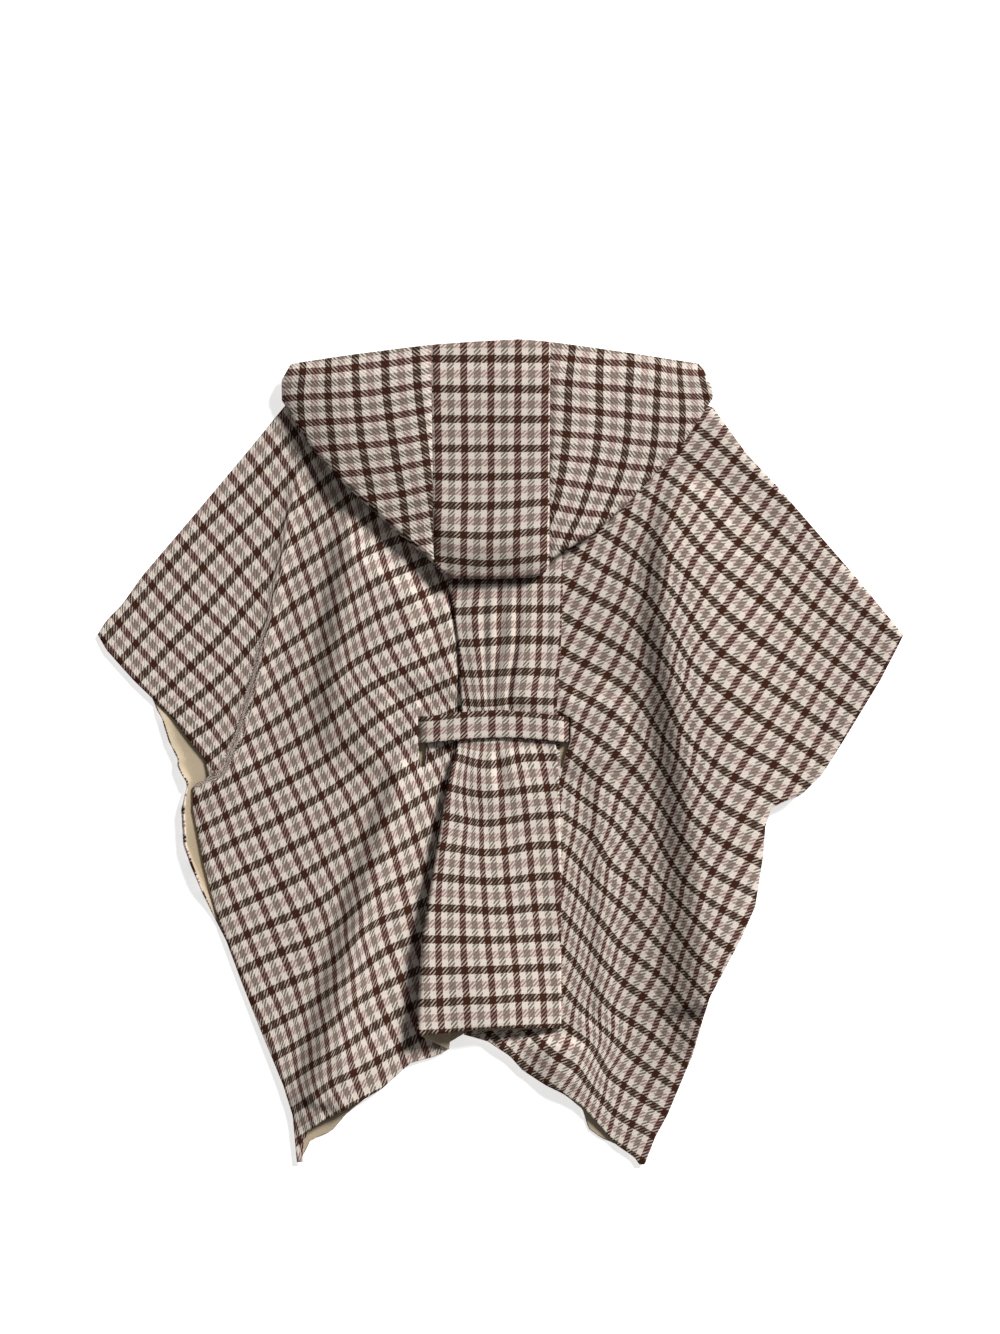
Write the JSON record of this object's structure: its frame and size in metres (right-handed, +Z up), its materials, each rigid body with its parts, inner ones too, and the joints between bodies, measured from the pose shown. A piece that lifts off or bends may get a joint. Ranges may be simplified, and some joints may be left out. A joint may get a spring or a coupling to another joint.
{
  "type": "hooded poncho",
  "caption": "Hooded wool poncho laid flat, seen from its back: kimono-like sleeve points, box pleat, half belt through slits and a hood folded back over the shoulders.",
  "frame": {"origin": "centre of the bounding box, on the surface that the garment lies on", "axes": "+Z up from the surface, +Y towards the hood, +X to the right of a viewer who looks down at the back"},
  "size_m": [1.0064, 1.0281, 0.0312],
  "materials": {
    "checked_wool": "soft twill in a cream, brown and grey check",
    "beige_wool": "soft plain reverse face of the double cloth"
  },
  "bodies": {
    "root": {"front": "beige_wool", "back_left": "checked_wool", "back_right": "checked_wool", "back_center": "checked_wool", "hood_left": "checked_wool", "hood_center": "checked_wool", "hood_right": "checked_wool", "half_belt": "checked_wool"}
  },
  "joints": []
}
